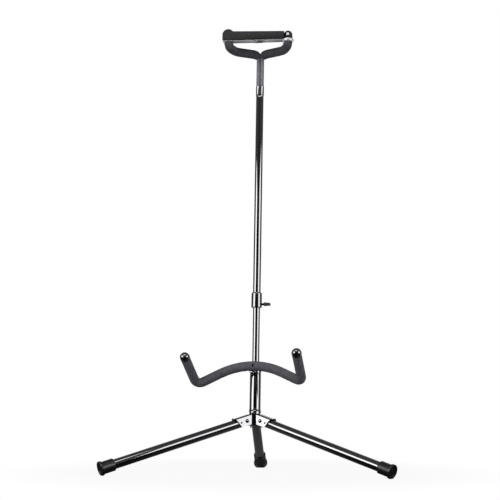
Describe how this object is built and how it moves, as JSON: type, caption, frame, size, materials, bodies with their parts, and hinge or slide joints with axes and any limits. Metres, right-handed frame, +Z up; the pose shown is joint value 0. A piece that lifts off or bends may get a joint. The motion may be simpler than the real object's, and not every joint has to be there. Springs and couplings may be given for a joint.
{
  "type": "guitar stand",
  "caption": "Folding tripod guitar stand: telescoping leaning mast, swivelling foam-covered body cradle and a foam-covered neck yoke closed by a swinging gate.",
  "frame": {"origin": "on the floor, under the middle of the stand's bounding box", "axes": "+Z up, -Y towards the front, where the two front legs and the cradle point; +X is the side of the gate's hinge and of the thumb screw"},
  "size_m": [0.6396, 0.3524, 1.0431],
  "materials": {
    "black_paint": "gloss",
    "grey_steel": "satin grey",
    "zinc": "zinc plated",
    "black_plastic": "gloss",
    "black_rubber": "matt",
    "foam": "fine closed-cell foam"
  },
  "bodies": {
    "base": {"hub": "black_paint", "lower_post": "black_paint", "post_bush": "black_plastic", "front_left_leg_rivet": "black_paint", "front_right_leg_rivet": "black_paint", "rear_leg_rivet": "black_paint"},
    "front_left_leg": {"front_left_leg": "black_paint", "front_left_foot": "black_rubber"},
    "front_right_leg": {"front_right_leg": "black_paint", "front_right_foot": "black_rubber"},
    "rear_leg": {"rear_leg": "black_paint", "rear_foot": "black_rubber"},
    "cradle": {"cradle_bracket": "black_paint", "cradle_screw": "black_paint", "cradle_rod": "black_paint", "cradle_foam": "foam", "cradle_cap_left": "black_plastic", "cradle_cap_right": "black_plastic"},
    "mid_tube": {"mid_tube": "black_paint"},
    "upper_mast": {"upper_tube": "black_paint", "height_collar": "black_plastic", "yoke_ferrule": "black_paint", "yoke_rod_left": "grey_steel", "yoke_rod_right": "grey_steel", "yoke_foam_left": "foam", "yoke_foam_right": "foam", "yoke_cap_left": "black_plastic", "yoke_cap_right": "black_plastic"},
    "thumb_screw": {"thumb_screw_shank": "zinc", "thumb_screw_wing": "black_plastic"},
    "gate": {"gate_plate": "zinc", "gate_bar": "black_rubber", "gate_clip": "black_plastic"}
  },
  "joints": [
    {"name": "front_left_leg_fold", "type": "hinge", "parent": "base", "child": "front_left_leg", "pos_m": [-0.02107, 0.0223, 0.11152], "axis": [0.5105, -0.8534, 0.1048], "range_deg": [0, 70]},
    {"name": "front_right_leg_fold", "type": "hinge", "parent": "base", "child": "front_right_leg", "pos_m": [0.02107, 0.0223, 0.11152], "axis": [0.5105, 0.8534, -0.1048], "range_deg": [0, 70]},
    {"name": "rear_leg_fold", "type": "hinge", "parent": "base", "child": "rear_leg", "pos_m": [0, 0.05904, 0.10701], "axis": [-1, 0, 0], "range_deg": [0, 54]},
    {"name": "cradle_swivel", "type": "hinge", "parent": "mid_tube", "child": "cradle", "pos_m": [0, 0.04783, 0.2168], "axis": [0, 0.1219, 0.9925], "continuous": true},
    {"name": "mast_turn", "type": "hinge", "parent": "base", "child": "mid_tube", "pos_m": [0, 0.04783, 0.2168], "axis": [0, 0.1219, 0.9925], "continuous": true},
    {"name": "height_slide", "type": "slide", "parent": "mid_tube", "child": "upper_mast", "axis": [0, 0.1219, 0.9925], "range_m": [-0.12, 0.15]},
    {"name": "thumb_screw_turn", "type": "hinge", "parent": "upper_mast", "child": "thumb_screw", "pos_m": [0, 0.06787, 0.37997], "axis": [1, 0, 0], "range_deg": [0, 360]},
    {"name": "gate_swing", "type": "hinge", "parent": "upper_mast", "child": "gate", "pos_m": [0.0715, 0.09147, 1.01281], "axis": [0, 0.1219, 0.9925], "range_deg": [0, 110]}
  ]
}
